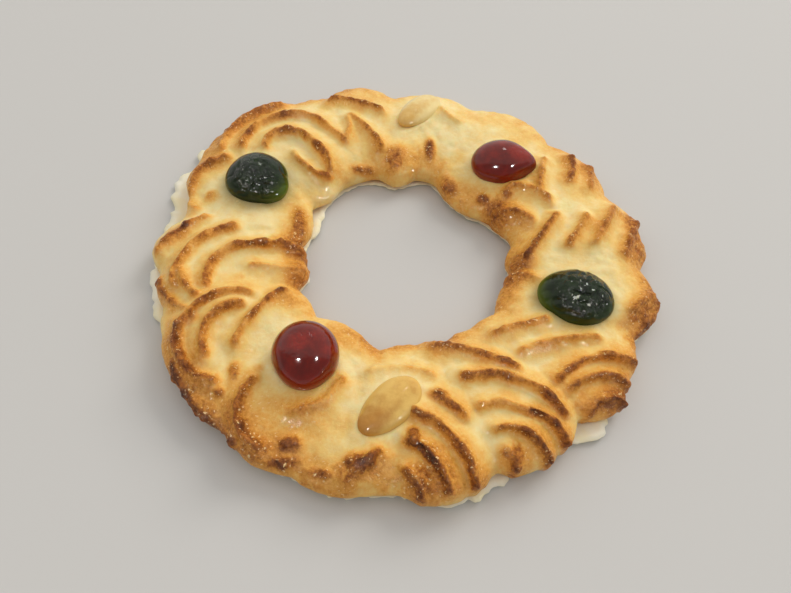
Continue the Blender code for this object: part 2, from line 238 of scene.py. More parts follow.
def setLights():
    for name, lamp in lights.items():
        data = bpy.data.lights.new(name, "AREA")
        data.shape, data.energy, data.color = "RECTANGLE", lamp["watts"], lamp["tint"]
        data.size, data.size_y = lamp["size"]
        source = bpy.data.objects.new(name, data)
        source.location = lamp["at"]
        source.rotation_euler = (-Vector(lamp["at"])).to_track_quat("-Z", "Y").to_euler()
        source.visible_diffuse, source.visible_glossy = not lamp["shines"], lamp["shines"]
        bpy.context.scene.collection.objects.link(source)
    world = bpy.data.worlds.new("softRoom")
    world.use_nodes = True
    tree = world.node_tree
    glow = tree.nodes["Background"]
    glow.inputs["Color"].default_value = (*room["tint"], 1)
    ways = {0: addNode(tree, "ShaderNodeTexCoord").outputs["Generated"], 1: room["toward"]}
    facing = addNode(tree, "ShaderNodeVectorMath", ways, operation="DOT_PRODUCT").outputs["Value"]
    strength = between(tree, facing, room["dimTo"], room["brightFrom"], room["dim"], room["bright"])
    tree.links.new(strength, glow.inputs["Strength"])
    bpy.context.scene.world = world
    bpy.context.scene.view_settings.view_transform = "Standard"


ring = dict(
    middle=(-1.30, 0.39),    # where the ring's centre lies in the frame
    outer=74.0, inner=38.5,  # the band between its lobes
    crown=11.3, waist=4.4,   # top of the smooth dough, and its widest level
    above=2.35,              # the section's exponent over the waist
    across=3.2, below=6,     # and its exponents under the waist, across and down
    carried=1.8,             # how far the relief carries a point outward where the surface is upright
    rows=880, columns=112, topShare=0.86,
    lobeFall=8.0, sharpness=0.9,  # a lobe has fallen this much at its half width
    # lobes of the outline: angle, reach, half width
    outerLobes=[(-9, 84.7, 12), (7, 83.4, 9), (16, 83.2, 11), (35, 82.6, 15), (60, 83.8, 14),
                (84, 82.2, 16), (106, 86.2, 11), (121, 85.0, 12), (134, 88.2, 15), (147, 85.8, 13),
                (157, 82.6, 9), (183, 81.4, 10), (195, 78.4, 11), (206, 79.4, 9), (216, 81.8, 12),
                (229, 81.4, 15), (246, 84.0, 14), (259, 84.8, 13), (268, 82.4, 12), (281, 84.8, 13),
                (301, 82.4, 13), (309, 80.6, 8), (322, 83.8, 8), (332, 81.8, 12)],
    innerLobes=[(52, 30.6, 23), (30, 35.8, 16), (95, 33.8, 12), (137, 35.4, 15), (166, 31.8, 20),
                (188, 32.6, 14), (197, 31.0, 11), (216, 34.4, 18), (244, 32.6, 22), (274, 34.8, 16),
                (287, 34.2, 16), (303, 34.4, 18), (317, 35.0, 16), (338, 34.4, 20), (2, 35.0, 14)],
)

# piped loops: the centre (a hairpin runs on to a second one), and its ridges, each an arc about it:
# from angle, to angle, radius there and there, height, toast
loops = dict(
    left=dict(at=(-46, -19), to=(-38, -17),
              ridges=[(34, 188, 15.0, 14.0, 1.0, 1.0), (114, 184, 22.8, 24.0, 1.1, 1.0)]),
    leftFront=dict(at=(-46, -41), to=None,
                   ridges=[(90, 172, 17.2, 19.2, 1.0, 0.95), (172, 250, 19.2, 14.4, 1.0, 1.2),
                           (98, 207, 12.8, 10.2, 1.1, 1.1)]),
    frontLeft=dict(at=(-30, -62), to=None, ridges=[(140, 243, 12.4, 12.4, 1.0, 0.9)]),
    front=dict(at=(-2, -87), to=None,
               ridges=[(18, 50, 12.4, 12.4, 0.8, 0.8), (18, 66, 19.8, 19.6, 1.1, 1.1),
                       (17, 72, 28.0, 27.6, 1.1, 0.9), (50, 66, 35.0, 35.4, 0.9, 0.8)]),
    frontRight=dict(at=(30, -74), to=None,
                    ridges=[(-35, 60, 5.5, 5.5, 0.8, 0.7), (14, 92, 14.9, 10.6, 1.0, 0.95),
                            (26, 60, 22.2, 19.0, 1.0, 1.05), (60, 106, 18.6, 18.0, 0.9, 0.7),
                            (43, 110, 25.4, 27.6, 1.1, 0.95)]),
    rightFront=dict(at=(65, -59), to=None,
                    ridges=[(72, 148, 9.0, 9.0, 0.9, 1.0), (66, 143, 14.6, 16.8, 1.0, 0.8),
                            (74, 143, 22.2, 21.0, 1.0, 0.75)]),
    backLeft=dict(at=(-43, 40), to=(-36, 33),
                  ridges=[(0, 176, 9.4, 8.2, 1.1, 1.0), (48, 180, 18.6, 16.0, 1.0, 0.85),
                          (104, 182, 26.8, 23.5, 0.9, 0.6)]),
    leftBack=dict(at=(-60, 21), to=None, ridges=[(108, 226, 14.1, 14.1, 0.9, 0.6)]),
)

# short ridges that stand alone: from, to, bow to the left of the way, height, toast
strokes = dict(
    leftSide=[((-31, -11), (-46, -12.5), 0.5, 0.7, 0.4), ((-68.5, -17), (-62, -25.5), -0.6, 1.0, 1.1),
              ((-75, -20), (-63.5, -31), -1.2, 0.7, 0.9), ((-36, -21.5), (-46.5, -41.5), -1.5, 1.0, 0.9),
              ((-64, -49), (-43, -71), -2.0, 0.9, 1.1), ((-65.5, 5.5), (-78, -7), -0.8, 0.9, 0.9)],
    frontSide=[((12.5, -37.5), (35.5, -43.5), 0.8, 1.0, 0.9), ((-14, -52.5), (-26, -62.5), 1.8, 0.8, 0.4),
               ((-6, -47), (11, -47.5), 1.6, 0.6, 0.25), ((-3, -73), (-10, -80), -0.5, 0.8, 0.6)],
    rightSide=[((30, -32.5), (45, -26.8), 0.3, 1.0, 0.8), ((38, -37.5), (60, -31.2), 0.8, 1.0, 0.7),
               ((40.8, -1), (51, 16.5), -0.2, 1.1, 0.95), ((55, 5), (61.3, 17), -0.3, 1.0, 0.9),
               ((63.5, 6), (71.5, 23), -0.3, 0.9, 0.55), ((73.5, 3), (80, 20), 0.4, 0.8, 0.7),
               ((72.5, -19.5), (80.5, -12.5), 0.5, 1.0, 0.6), ((34, -7), (42, -8), 1.0, 0.6, 0.3)],
    rightBack=[((46.5, 29), (48.5, 43), 0.5, 1.0, 0.6), ((57.5, 35), (59, 46), -0.3, 1.0, 0.75),
               ((65, 33), (66, 44), -0.3, 0.8, 0.5), ((36, 28), (49.5, 24), 2.5, 0.9, 0.5),
               ((34, 19), (43, 16), 0.8, 0.8, 0.5)],
    backSide=[((-40, 36.5), (-28.5, 29.0), -1.2, 1.0, 0.75), ((-22.5, 48), (-23, 58), -0.3, 0.9, 0.45),
              ((-21.5, 59.5), (-10, 45.5), 0.8, 1.0, 0.75), ((-30, 69), (-11, 64.5), 1.2, 0.9, 0.75),
              ((12, 66.5), (18, 61), -0.5, 0.6, 0.3)],
)

piping = dict(
    crest=1.40, crestWidth=1.15, crestEnd=1.5,     # a ridge over its shoulder: height, half width, end fade
    shoulder=2.0, shoulderInside=2.2, shoulderOutside=5.0, shoulderPlain=3.6, shoulderEnd=3.5,
    side=0.55,                                     # share of the relief left at the rims
    wander=0.55, wanderSize=6.0,                   # how far a ridge's line strays, and over what length
    beads=0.3, beadSize=3.4,                       # how unevenly a ridge stands up
    swell=0.8, swellSize=14.0,                     # slow unevenness of the dough
    blister=0.7,                                   # how far a toasted patch rises
    collar=0.9, collarInside=1.5, collarOutside=2.6,  # how far the dough rises round a topping, and how wide
    lump=0.75, lumpSize=2.3, lumpPlain=0.35, lumpToasted=0.9,       # small lumps, and their share everywhere
    froth=0.42, frothSize=1.15, frothPlain=0.15, frothToasted=1.0,  # and where the dough is toasted
    toastHalf=1.2, toastBand=0.85,                 # half width and depth of the toast along a ridge
    toastCore=0.6, toastLine=0.30,                 # the same for the darker line in its middle
    toastLean=0.5,                                 # how far a loop's toast sits toward its middle
    toastEnd=1.8, tanEnd=2.6,                      # how toast and tan fade past a ridge's ends
    tanLeast=0.45,                                 # tan round a ridge without toast; at toast 1 it is 1
)

# toasted patches off the ridges: middle, half sizes, turn, strength
patches = [
    ((-27, -72), (3.2, 2.2), 10, 1.25), ((-28.5, -77), (4.6, 1.8), 8, 1.1),
    ((-18, -79.5), (3.5, 1.4), -5, 0.9), ((-8, -76), (3.4, 2.6), 0, 1.2), ((-4, -75), (1.4, 2.6), -25, 0.9),
    ((6.5, -68), (1.7, 2.7), -10, 1.15), ((-45.5, -51), (1.8, 3.0), 12, 0.8),
    ((-48.5, -58), (1.7, 1.5), 0, 0.7), ((-38.5, -50), (1.6, 1.8), -25, 0.6),
    ((27, 24.5), (2.2, 2.0), 20, 1.1), ((31, 20), (4.5, 4.6), 20, 0.75), ((35.5, 26), (1.5, 1.2), 0, 0.8),
    ((15, 31), (2.6, 4.2), 20, 0.95), ((8, 47), (1.9, 4.4), 6, 1.15), ((-4.5, 41), (3.2, 6.0), -4, 0.75),
    ((-15.5, 36), (4.6, 1.8), 4, 0.95), ((-34, 9), (2.6, 6.8), 12, 0.75), ((-50, -17), (2.0, 1.4), 0, 0.35),
    ((10, -79), (1.8, 3.8), 15, 0.8), ((-66, 17), (2.8, 2.8), 30, 0.75), ((-28.5, 30), (2.8, 1.9), 0, 1.0),
    ((62, -37), (2.2, 1.2), 5, 0.7), ((14, -54.5), (2.0, 1.5), -25, 0.8),
    ((35, -70.5), (1.6, 3.0), -5, 0.7), ((-61.5, -34.5), (2.2, 1.8), 40, 0.8),
    ((49, 24.5), (1.6, 1.6), 0, 0.7), ((-12.5, 65), (2.0, 1.2), -20, 0.8),
]

# broad zones that the oven turned golden: middle, half sizes, turn, strength
warmZones = [
    ((-30, -66), (20, 11), -22, 0.8), ((-4, -77), (16, 5), 0, 0.7), ((8, -36), (18, 4.5), -8, 0.6),
    ((36, -6), (5, 18), 0, 0.65), ((-60, 62), (20, 9), 38, 0.75), ((-18, 72), (16, 7), 0, 0.6),
    ((2, 42), (20, 7), 0, 0.7), ((34, 22), (9, 8), 30, 0.7), ((80, 0), (6, 24), 0, 0.6),
    ((-36, 10), (5, 11), 8, 0.6), ((-34, -8), (6, 7), 0, 0.55), ((-33, -24), (5, 5), 0, 0.55),
    ((-18, -37), (7, 5), -30, 0.55), ((52, -50), (16, 6), 30, 0.2), ((40, -66), (10, 6), 35, 0.35),
    ((14, -74), (10, 10), 0, 0.45), ((-73, -3), (5, 5), 0, 0.6), ((-58, -52), (9, 12), 40, 0.55),
    ((23, 27), (8, 6), -45, 0.6), ((39, 58), (9, 4), -45, 0.5), ((58, 34), (10, 5), -55, 0.5),
    ((66, 14), (7, 7), 0, 0.45), ((-67, 30), (7, 8), 30, 0.45), ((30, 66), (16, 5), -10, 0.45),
    ((56, 44), (12, 8), -40, 0.4), ((44, 40), (4, 12), 0, 0.35),
]

# places that stayed pale across the ridges: middle, half sizes, turn, strength
paleSpots = [
    ((-33, -3), (5, 5), 0, 0.75), ((-61, -27.5), (1.6, 2.2), 0, 0.5), ((-44.5, -35.5), (1.8, 1.5), 0, 0.8),
]

# how brown the rims are: angle, half width, strength
rimToast = dict(
    outer=[(212, 14, 0.25), (234, 14, 0.3), (252, 12, 0.5), (268, 20, 0.4), (140, 22, 0.6), (107, 12, 0.55),
           (60, 16, 0.4), (345, 12, 1.0), (10, 16, 0.6), (38, 12, 0.5), (322, 7, 0.8), (178, 5, 0.5)],
    inner=[(182, 16, 0.6), (345, 22, 0.55), (20, 18, 0.35), (300, 24, 0.45), (255, 20, 0.45),
           (225, 12, 0.4), (60, 20, 0.3), (205, 8, 0.5)],
)

# the parts of the bake value: raw dough, tan and toast; the even, fine and coarse shares of each toast; what
# the tan is made of; sizes of the coarse and fine noise; and where the outer rim stayed pale
baking = dict(
    raw=0.02, tan=0.40, toast=0.33, toastMost=1.4, underside=0.42,
    ridges=(0.74, 0.52, 0.24), patches=(0.80, 0.45), rims=(0.60, 0.60, 0.30), rimShare=0.95,
    tanRidges=0.62, tanRims=0.5, tanPatches=0.4, tanZones=0.75, tanEdge=0.22, tanNoise=0.22,
    coarseSize=6.5, fineSize=2.2, paleEdgeAt=178, paleEdgeHalf=22,
)


# smooth maximum (sign 1) or minimum (sign -1) of a circle and of each lobe, a parabola in angle
def lobed(theta, base, lobes, sign):
    sharp = ring["sharpness"]
    total = 1.0
    for angle, reach, half in lobes:
        edge = reach - sign * ring["lobeFall"] * (apart(theta, angle) / half) ** 2
        total = total + np.exp(np.clip(sign * (edge - base) * sharp, -60, 60))
    return base + sign * np.log(total) / sharp


def doughRims(theta):  # radii of the ring's inner and outer outline
    inner = lobed(theta, ring["inner"], ring["innerLobes"], -1)
    return inner, lobed(theta, ring["outer"], ring["outerLobes"], 1)


# how far off each loop's ridges a point lies: its distance to the centre, or to the line between a hairpin's
# two centres, less the arc's radius, which changes evenly along the arc; and how far past its ends it is
def loopLines(x, y, wander):
    lines = []
    for loop in loops.values():
        start = np.array(loop["at"], float)
        way = np.array(loop["to"], float) - start if loop["to"] else np.zeros(2)
        onWay = np.clip(((x - start[0]) * way[0] + (y - start[1]) * way[1]) / max(way @ way, 1e-9), 0, 1)
        dx, dy = x - start[0] - onWay * way[0], y - start[1] - onWay * way[1]
        away, angle = np.hypot(dx, dy), np.arctan2(dy, dx)
        for first, last, radius, radiusAtLast, height, toast in loop["ridges"]:
            turned = apart(angle, (first + last) / 2)
            past = np.clip(np.abs(turned) - (last - first) / 2, 0, 180)
            share = np.clip(turned / (last - first) + 0.5, 0, 1)
            line = radius + (radiusAtLast - radius) * share
            lines.append((away - line + wander, np.radians(past) * line, height, toast, True))
    return lines


# the same for the strokes: the distance to a straight line, less the parabola by which the stroke bows
def strokeLines(x, y, wander):
    lines = []
    for (x0, y0), (x1, y1), bow, height, toast in sum(strokes.values(), []):
        length = np.hypot(x1 - x0, y1 - y0)
        ux, uy = (x1 - x0) / length, (y1 - y0) / length
        along, off = (x - x0) * ux + (y - y0) * uy, (y - y0) * ux - (x - x0) * uy
        q = np.clip(along / length, -0.2, 1.2)
        past = np.clip(np.abs(along - length / 2) - length / 2, 0, None)
        lines.append((off - 4 * bow * q * (1 - q) + wander, past, height, toast, False))
    return lines


# crest, shoulder, toast and tan of the piping: bells of the distance to each ridge's line; the highest wins
def pipingAt(x, y):
    size = piping["wanderSize"]
    wander = piping["wander"] * unevenness(x / size, y / size, 0 * x + 3.3)
    crest, shoulder, toasted, tanned = 0 * x, 0 * x, 0 * x, 0 * x
    for off, past, height, toast, isLoop in loopLines(x, y, wander) + strokeLines(x, y, wander):
        inside = piping["shoulderInside"] if isLoop else piping["shoulderPlain"]
        outside = piping["shoulderOutside"] if isLoop else piping["shoulderPlain"]
        width = np.where(off < 0, inside, outside)
        crest = np.maximum(crest, height * bump(off / piping["crestWidth"]) * bump(past / piping["crestEnd"]))
        shoulder = np.maximum(shoulder, height * bump(off / width) * bump(past / piping["shoulderEnd"]))
        lean = piping["toastLean"] if isLoop else 0
        band = piping["toastBand"] * np.exp(-((off + lean) / piping["toastHalf"]) ** 6)
        band = band + piping["toastLine"] * bump((off + lean) / piping["toastCore"])
        toasted = np.maximum(toasted, toast * band * bump(past / piping["toastEnd"]))
        tan = piping["tanLeast"] + (1 - piping["tanLeast"]) * toast
        tanned = np.maximum(tanned, tan * bump((off + lean) / width) * bump(past / piping["tanEnd"]))
    return crest, shoulder, toasted, tanned


# the strongest bell of the distance to a spot, measured in the spot's own half sizes
def spotsAt(x, y, spots, sharpness):
    strongest = 0 * x
    for (cx, cy), (long, wide), turn, strength in spots:
        c, s = np.cos(np.radians(turn)), np.sin(np.radians(turn))
        a, b = ((x - cx) * c + (y - cy) * s) / long, ((y - cy) * c - (x - cx) * s) / wide
        strongest = np.maximum(strongest, strength * np.exp(-np.hypot(a, b) ** sharpness))
    return strongest


def collarsAt(x, y):  # the dough rises round each topping: a bell of the distance to its outline
    rise = 0 * x
    for size in [*cherries.values(), *almonds.values()]:
        turn = np.radians(size["turn"])
        dx, dy = x - size["at"][0], y - size["at"][1]
        a, b = dx * np.cos(turn) + dy * np.sin(turn), dy * np.cos(turn) - dx * np.sin(turn)
        half = size["half"]
        away = (np.hypot(a / half[0], b / half[1]) - 1) * (half[0] + half[1]) / 2
        width = np.where(away < 0, piping["collarInside"], piping["collarOutside"])
        rise = np.maximum(rise, piping["collar"] * bump(away / width))
    return rise


# each section is a superellipse between the rims, with the ring's exponents; c and s are the cosine and sine
# of the turn round it, and each point comes with the section's own normal there
def doughForm(theta, c, s):
    inner, outer = doughRims(theta)
    upper = s >= 0
    middle, half = (outer + inner) / 2, (outer - inner) / 2
    radius = middle + half * np.sign(c) * np.abs(c) ** np.where(upper, 2 / ring["above"], 2 / ring["across"])
    floor = paper["gap"] + paperCurl(theta, radius)
    crown, waist = ring["crown"], ring["waist"]
    rise = (crown - waist) * np.abs(s) ** (2 / ring["above"])
    fall = (waist - floor) * np.abs(s) ** (2 / ring["below"])
    z = waist + np.where(upper, rise, -fall)
    nr, nz = (radius - middle) / half ** 2, (z - waist) / (crown - waist) ** 2
    size = np.maximum(np.hypot(nr, nz), 1e-9)
    return radius, z, nr / size, nz / size


# toast and tan at each point, in one value from 0 to 1: the piping, the patches and the rims where the oven's
# heat reached them, each broken up by noise
def bakeAt(grid, x, y, theta, c, s, toasted, tanned, patch):
    rim = np.zeros_like(theta)
    for side, far in (("outer", ease(0.35, 1.0, c)), ("inner", ease(0.35, 1.0, -c))):
        for angle, half, strength in rimToast[side]:
            rim = np.maximum(rim, strength * bump(apart(theta, angle) / half) * far)
    low, mid = grainOf(grid, baking["coarseSize"], 2.0), grainOf(grid, baking["fineSize"], 5.0)
    even, fine, coarse = baking["ridges"]
    toasted = toasted * (even + fine * mid + coarse * low) * (1 - spotsAt(x, y, paleSpots, 3))
    even, fine = baking["patches"]
    toasted = np.maximum(toasted, patch * (even + fine * mid))
    even, fine, coarse = baking["rims"]
    toasted = np.maximum(toasted, baking["rimShare"] * rim * (even + fine * mid + coarse * low))
    pale = bump(apart(theta, baking["paleEdgeAt"]) / baking["paleEdgeHalf"]) * (c > 0)
    edge = baking["tanEdge"] * ease(0.5, 1.0, np.abs(c)) * (1 - pale)
    tan = baking["tanRidges"] * tanned + baking["tanRims"] * rim + baking["tanPatches"] * patch
    tan = tan + baking["tanZones"] * spotsAt(x, y, warmZones, 2) + edge + baking["tanNoise"] * low
    toast = baking["toast"] * np.clip(toasted, 0, baking["toastMost"]) * ease(-0.4, 0.1, s)
    bake = np.clip(baking["raw"] + baking["tan"] * np.clip(tan, 0, 1) + toast, 0, 1)
    return np.where(s < 0, np.maximum(bake, baking["underside"] * ease(0, -0.5, s)), bake)


# small lumps move each point along the surface's own normal, the cross product of the grid's two directions;
# the more a place is baked, the more it stands up
def roughened(grid, bake, s):
    along = np.roll(grid, -1, 0) - np.roll(grid, 1, 0)
    across = np.roll(grid, -1, 1) - np.roll(grid, 1, 1)
    normal = np.cross(along, across)
    normal /= np.maximum(np.linalg.norm(normal, axis=-1, keepdims=True), 1e-9)
    normal *= np.sign(normal[0, int(ring["columns"] * ring["topShare"] / 2), 2])
    rough = ease(0.30, 0.75, bake)
    lumps = piping["lump"] * (piping["lumpPlain"] + piping["lumpToasted"] * rough)
    lumps = lumps * grainOf(grid, piping["lumpSize"], 9.0)
    froth = piping["froth"] * (piping["frothPlain"] + piping["frothToasted"] * rough)
    lumps += froth * grainOf(grid, piping["frothSize"], 4.0)
    return grid + normal * (lumps * ease(-0.6, 0.1, s))[..., None]


def stainAt(grid):  # syrup round the green cherries: steep bells of the distance to the middle of each stain
    stain = np.zeros(grid.shape[:2])
    for size in cherries.values():
        if "stain" in size:
            (cx, cy), (a, b) = size["stainAt"], size["stain"]
            away = np.hypot((grid[..., 0] - cx) / a, (grid[..., 1] - cy) / b)
            stain = np.maximum(stain, np.exp(-away ** 6))
    return stain


# the ring: a grid of angle round the ring and turn round its section, with the relief of the piping on it
def buildDough():
    theta, turn = np.meshgrid(np.arange(ring["rows"]) / ring["rows"] * 2 * np.pi,
                              np.arange(ring["columns"]) / ring["columns"], indexing="ij")
    top = ring["topShare"]
    phi = np.where(turn < top, np.pi * turn / top, np.pi + np.pi * (turn - top) / (1 - top))
    c, s = np.cos(phi), np.sin(phi)
    radius, z, nr, nz = doughForm(theta, c, s)

    # the relief is looked up where its own lift will carry each point
    carried = radius + ring["carried"] * nr
    x, y = carried * np.cos(theta), carried * np.sin(theta)
    crest, shoulder, toasted, tanned = pipingAt(x, y)
    patch = spotsAt(x, y, patches, 3)
    slowly, bead = piping["swellSize"], piping["beadSize"]
    slow = piping["swell"] * unevenness(x / slowly, y / slowly, z / slowly + 7)
    beads = unevenness(x / bead, y / bead, 0 * x + 1.7)
    lift = piping["crest"] * crest * (1 + piping["beads"] * beads) + piping["shoulder"] * shoulder
    lift = lift + slow + piping["blister"] * patch + collarsAt(x, y)
    lift = lift * (piping["side"] + (1 - piping["side"]) * ease(0, 0.35, s)) * ease(-0.9, 0, s)
    radius = radius + lift * nr
    z = np.maximum(z + lift * nz, paper["gap"] + paperCurl(theta, radius))
    grid = np.stack([radius * np.cos(theta), radius * np.sin(theta), z], -1)

    bake = bakeAt(grid, x, y, theta, c, s, toasted, tanned, patch)
    grid = roughened(grid, bake, s)
    stain = stainAt(grid)
    grid[..., :2] += ring["middle"]
    piece = skin("pipedDough", grid, values=dict(bake=bake, stain=stain))
    dress(piece, "wreath_dough", bakedDough())


# the crust's colours, and the pale yellow of its painted glints; its noises, each as lumps a metre, detail and
# roughness; and what grows with the bake value or with a noise, as from, to, and the result there and there
crust = dict(
    tints=[(0.00, (0.91, 0.75, 0.37)), (0.15, (0.88, 0.59, 0.185)), (0.30, (0.82, 0.41, 0.080)),
           (0.44, (0.66, 0.27, 0.038)), (0.57, (0.43, 0.142, 0.017)), (0.72, (0.23, 0.064, 0.008)),
           (0.88, (0.11, 0.028, 0.004)), (1.00, (0.05, 0.015, 0.003))],
    syrup=(0.10, 0.085, 0.012), syrupShare=0.75, paintedGlint=(1.0, 0.74, 0.34),
    cloud=(260, 3, 0.55), crumb=(1000, 4, 0.65), grit=(2600, 2, 0.6), beads=(1000, 1, 0.4),
    paintedGlintNoise=(1200, 1, 0.5), paintedGlintClusters=(260, 1, 0.5),
    crumbShift=(0.05, 0.6, 0.14, 0.75), cloudShift=0.26,
    coarse=(0.1, 0.6, 0.22, 1.0), matt=(0.3, 0.7, 0.40, 0.58),
    paintedGlintFrom=(0.64, 0.71), paintedGlintClusterFrom=(0.42, 0.58), paintedGlintShare=(0.1, 0.5, 0.35, 0.85),
    poreDepth=0.6, gritDepth=0.25, beadDepth=0.9,
    glaze=0.35, paintedGlintGlaze=0.7,  # weight of the egg glaze, and how much more it has at the painted glints
)


# pale butter dough that deepens to toast with the mesh's bake value, broken up by noise, under an egg glaze;
# the more it is baked, the coarser its crumb stands out; painted glints, specks of highlight painted into its
# colour, dot it
def bakedDough():
    finish, tree, shader = newFinish("bakedDough", IOR=1.18, Coat_Roughness=0.08)
    soften(shader, 0.30, (1.0, 0.45, 0.15), 0.0015)
    place = placeOf(tree)
    crumb, grit = mottle(tree, place, *crust["crumb"]), mottle(tree, place, *crust["grit"])
    bake, stain = level(tree, "bake"), level(tree, "stain")

    worn = shifted(tree, bake, crumb, between(tree, bake, *crust["crumbShift"]))
    worn = shifted(tree, worn, mottle(tree, place, *crust["cloud"]), crust["cloudShift"])
    colour = ramp(tree, worn, crust["tints"])
    colour = blend(tree, times(tree, stain, crust["syrupShare"]), colour, crust["syrup"])
    tree.links.new(between(tree, crumb, *crust["matt"]), shader.inputs["Roughness"])

    coarse = between(tree, bake, *crust["coarse"])
    pores = relieved(tree, times(tree, crumb, coarse), crust["poreDepth"])
    grain = relieved(tree, times(tree, grit, coarse), crust["gritDepth"], pores)
    tree.links.new(grain, shader.inputs["Normal"])
    beads = times(tree, mottle(tree, place, *crust["beads"]), coarse)
    tree.links.new(relieved(tree, beads, crust["beadDepth"]), shader.inputs["Coat Normal"])

    # painted glints: small bright specks of highlight painted into the colour, most of them on the toasted
    # crests
    paintedGlint = between(tree, mottle(tree, place, *crust["paintedGlintNoise"]), *crust["paintedGlintFrom"])
    paintedGlint = times(tree, paintedGlint, between(tree, mottle(tree, place, *crust["paintedGlintClusters"]), *crust["paintedGlintClusterFrom"]))
    paintedGlint = times(tree, paintedGlint, between(tree, bake, *crust["paintedGlintShare"]))
    tree.links.new(blend(tree, paintedGlint, colour, crust["paintedGlint"]), shader.inputs["Base Color"])
    glazed = {0: paintedGlint, 1: crust["paintedGlintGlaze"], 2: crust["glaze"]}
    tree.links.new(addNode(tree, "ShaderNodeMath", glazed, operation="MULTIPLY_ADD").outputs[0],
                   shader.inputs["Coat Weight"])
    return finish


paper = dict(
    thickness=0.35, gap=0.95,              # the dough's underside stands so high over the paper's
    inset=1.0,                             # its edge lies so far within the dough's where no flap shows
    flatFrom=44.0, flatTo=68.0, curlWidth=14.0, curlMost=1.5, outerCurl=1.0, innerCurl=1.5,
    frontCurl=0.9, frontCurlAt=235, frontCurlWidth=45,
    wave=0.35, waveSize=6.0, waveOuter=(70, 84), waveInner=(42, 30),  # the free edges wave more and more
    rows=1500, columns=16,
    # corners of the torn outline where it shows past the dough: angle, reach
    outerCorners=[(145, 70), (148, 89), (149.5, 90.5), (151, 88), (153, 84), (156, 87), (161, 87),
                  (164.5, 85.5), (167, 83), (169.5, 81.5), (173, 82), (177, 80), (180, 80.5), (182, 81.5),
                  (184, 79.5), (187, 82), (190, 82), (197, 81), (200, 81), (204, 79), (206, 70), (279, 70),
                  (280, 84.8), (282.5, 85.8), (285, 85.2), (286, 84.2), (288, 84.2), (290.5, 82.5),
                  (293, 82), (295, 81), (297, 70), (308, 70), (309.5, 81.5), (311.5, 82), (312, 81.5),
                  (315.5, 84.5), (316.5, 85.5), (320.5, 83.5), (322, 70)],
    innerCorners=[(57, 60), (63, 36.5), (71, 38.5), (79, 39.5), (87, 37.5), (93, 36), (97, 36), (104, 37.5),
                  (112, 40), (124, 38.5), (133, 36.5), (143, 35.5), (146, 33.5), (153.5, 31.5), (161, 31),
                  (169, 32), (178, 32.5), (183, 33.5), (186, 40), (190, 36), (193.5, 31), (199, 31),
                  (204, 34.5), (206, 60)],
    # how its edges are frayed: depth, number of corners round the ring, seed
    outerFrays=[(1.0, 130, 11), (1.5, 330, 17)], innerFrays=[(1.0, 65, 23), (0.75, 165, 29)],
    tints=((0.95, 0.86, 0.57), (0.96, 0.91, 0.74)),
    cloud=(120, 3, 0.5), fibre=(1600, 4, 0.7), fibreDepth=0.12,  # noises: lumps a metre, detail, roughness
)


# height of the wafer paper's underside: 0 on its flat band, and a rise toward both of its edges
def paperCurl(theta, radius):
    front = paper["frontCurl"] * bump(apart(theta, paper["frontCurlAt"]) / paper["frontCurlWidth"])
    most = paper["curlMost"]
    outer = (paper["outerCurl"] + front) * np.clip((radius - paper["flatTo"]) / paper["curlWidth"], 0, most)
    inner = paper["innerCurl"] * np.clip((paper["flatFrom"] - radius) / paper["curlWidth"], 0, most)
    return outer + inner


# the edge's radii with a zigzag on them: straight little edges between fixed values at even steps
def frayed(edge, theta, frays):
    for depth, steps, seed in frays:
        corners = np.arange(steps + 1)
        values = cornerValue(corners % steps, seed, 0) - 0.5
        edge = edge + depth * np.interp(theta / (2 * np.pi) * steps, corners, values)
    return edge


# a thin band round the ring: each section runs from the outer edge in to the inner one on top and back
# underneath; an edge keeps just inside the dough's, or reaches the straight lines between its torn corners
def buildWafer():
    half = paper["columns"] // 2
    theta = np.arange(paper["rows"]) / paper["rows"] * 2 * np.pi
    inner, outer = doughRims(theta)
    outer = np.maximum(outer - paper["inset"], np.interp(np.degrees(theta), *zip(*paper["outerCorners"])))
    inner = np.minimum(inner + paper["inset"], np.interp(np.degrees(theta), *zip(*paper["innerCorners"])))
    outer, inner = frayed(outer, theta, paper["outerFrays"]), frayed(inner, theta, paper["innerFrays"])
    share = np.concatenate([np.linspace(0, 1, half), np.linspace(1, 0, half)])
    share = 0.5 - 0.5 * np.cos(np.pi * share)
    radius = outer[:, None] + (inner - outer)[:, None] * share
    angle = np.broadcast_to(theta[:, None], radius.shape)
    z = paperCurl(angle, radius)
    place = np.stack([radius * np.cos(angle), radius * np.sin(angle), z], -1)
    free = ease(*paper["waveOuter"], radius) + ease(*paper["waveInner"], radius)
    place[..., 2] = np.maximum(z + paper["wave"] * free * grainOf(place, paper["waveSize"], 3.0), 0)
    place[..., 2] += np.where(np.arange(2 * half) < half, paper["thickness"], 0)
    place[..., :2] += ring["middle"]
    dress(skin("tornWafer", place), "wafer_paper", dryWafer())


def dryWafer():  # dry starch paper: cream white, faintly mottled, its fibre in a fine bump
    finish, tree, shader = newFinish("dryWafer", Roughness=0.82)
    soften(shader, 0.1, (1.0, 0.9, 0.7), 0.001)
    place = placeOf(tree)
    cloud, fibre = mottle(tree, place, *paper["cloud"]), mottle(tree, place, *paper["fibre"])
    colour = blend(tree, between(tree, cloud, 0.35, 0.65), *paper["tints"])
    tree.links.new(colour, shader.inputs["Base Color"])
    tree.links.new(relieved(tree, fibre, paper["fibreDepth"]), shader.inputs["Normal"])
    return finish


